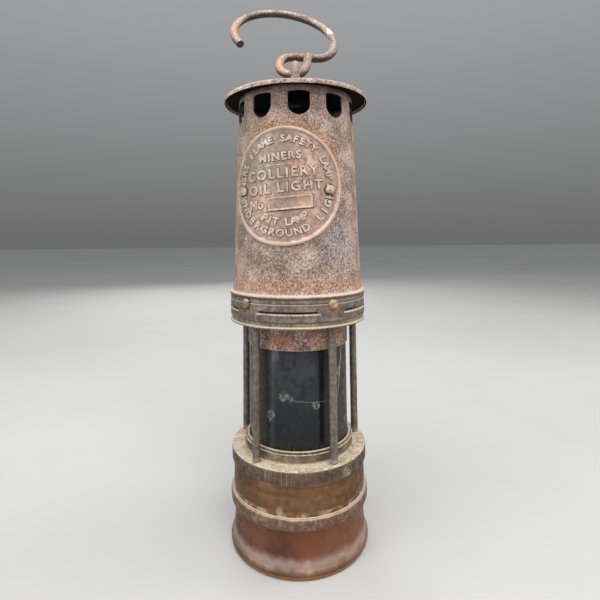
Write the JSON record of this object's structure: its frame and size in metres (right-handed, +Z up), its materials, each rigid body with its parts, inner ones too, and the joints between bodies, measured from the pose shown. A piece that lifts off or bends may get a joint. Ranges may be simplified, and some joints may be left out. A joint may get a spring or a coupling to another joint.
{
  "type": "miner's flame safety lamp",
  "caption": "Miner's flame safety lamp with a screw-on oil vessel, glass cage with pillars, tapered bonnet over wire gauzes, round name plate, hood and swivelling wire hook.",
  "frame": {"origin": "middle of the foot of the oil vessel, on the lamp's axis, at the surface it stands on", "axes": "+Z up along the lamp's axis, -Y the front with the name plate, +X to the right seen from the front"},
  "size_m": [0.0949, 0.0966, 0.3565],
  "materials": {
    "vessel_copper": "tarnished copper-brown with a worn grey sheen",
    "worn_brass": "dull brass, dusty",
    "dark_steel": "dark brown-grey steel with worn bright edges",
    "rusty_iron": "sheet iron with fine pitted rust",
    "hook_iron": "rusty wire, pale on top",
    "plate_bronze": "dark bronze, letters rubbed paler",
    "gauze": "woven wire gauze, sooty",
    "smoked_glass": "thick glass blackened by soot",
    "cotton": "undyed cotton",
    "leather": "oiled leather"
  },
  "bodies": {
    "vessel": {"oil_vessel": "vessel_copper", "vessel_base_plate": "vessel_copper", "cotton_packing": "cotton", "burner_plate": "worn_brass", "wick_tube": "worn_brass", "wick": "cotton", "pricker_tube": "worn_brass"},
    "filler_washer": {"filler_washer": "leather"},
    "filler_cap": {"filler_cap": "worn_brass"},
    "pricker_sleeve": {"pricker_sleeve": "worn_brass"},
    "pricker": {"pricker": "dark_steel"},
    "seal_washer": {"seal_washer": "leather"},
    "cage": {"base_ring": "dark_steel", "lock_plug": "worn_brass", "lock_spring": "dark_steel", "glass_seat_ring": "worn_brass", "lower_gasket": "leather", "glass": "smoked_glass", "upper_gasket": "leather", "glass_collar": "rusty_iron", "pillar_1": "dark_steel", "pillar_2": "dark_steel", "pillar_3": "dark_steel", "pillar_4": "dark_steel", "pillar_5": "dark_steel", "lower_flange": "worn_brass", "inlet_band": "dark_steel", "inlet_gauze": "gauze", "band_screw_1": "worn_brass", "band_screw_2": "worn_brass", "band_screw_3": "worn_brass", "band_screw_4": "worn_brass", "band_screw_5": "worn_brass", "bonnet": "rusty_iron", "gauze_ring": "worn_brass", "outer_gauze": "gauze", "inner_gauze": "gauze", "name_plate": "plate_bronze", "plate_rivet_left": "worn_brass", "plate_rivet_right": "worn_brass", "hood": "rusty_iron"},
    "lock_bolt": {"lock_bolt": "dark_steel"},
    "swivel": {"swivel_eye": "rusty_iron", "swivel_washer": "rusty_iron"},
    "hook": {"hook": "hook_iron"}
  },
  "joints": [
    {"name": "lamp_lift", "type": "slide", "parent": "vessel", "child": "seal_washer", "axis": [0, 0, 1], "range_m": [0, 0.007]},
    {"name": "lamp_unscrew", "type": "hinge", "parent": "seal_washer", "child": "cage", "pos_m": [0, 0, 0.0473], "axis": [0, 0, 1], "range_deg": [0, 1260]},
    {"name": "lock_slide", "type": "slide", "parent": "cage", "child": "lock_bolt", "axis": [0.6508, -0.7593, 0], "range_m": [0, 0.0012], "stiffness_N_per_m": 150, "springref_m": -0.002, "deforming": ["lock_spring"]},
    {"name": "filler_lift", "type": "slide", "parent": "vessel", "child": "filler_washer", "axis": [0, 0, -1], "range_m": [0, 0.0025]},
    {"name": "filler_unscrew", "type": "hinge", "parent": "filler_washer", "child": "filler_cap", "pos_m": [-0.014, 0, 0.008], "axis": [0, 0, -1], "range_deg": [0, 900]},
    {"name": "pricker_lift", "type": "slide", "parent": "vessel", "child": "pricker_sleeve", "axis": [0, 0, 1], "range_m": [0, 0.0035]},
    {"name": "pricker_turn", "type": "hinge", "parent": "pricker_sleeve", "child": "pricker", "pos_m": [0.012, 0, 0.012], "axis": [0, 0, 1], "range_deg": [-120, 120]},
    {"name": "swivel_turn", "type": "hinge", "parent": "cage", "child": "swivel", "pos_m": [0, 0, 0.272], "axis": [0, 0, 1], "continuous": true},
    {"name": "hook_swing", "type": "hinge", "parent": "swivel", "child": "hook", "pos_m": [0, 0, 0.2867], "axis": [1, 0, 0], "range_deg": [-68, 133]}
  ],
  "couplings": [
    {"joint": "lamp_lift", "follows": "lamp_unscrew", "m_per_rad": 0.0003183},
    {"joint": "filler_lift", "follows": "filler_unscrew", "m_per_rad": 0.00015915}
  ]
}
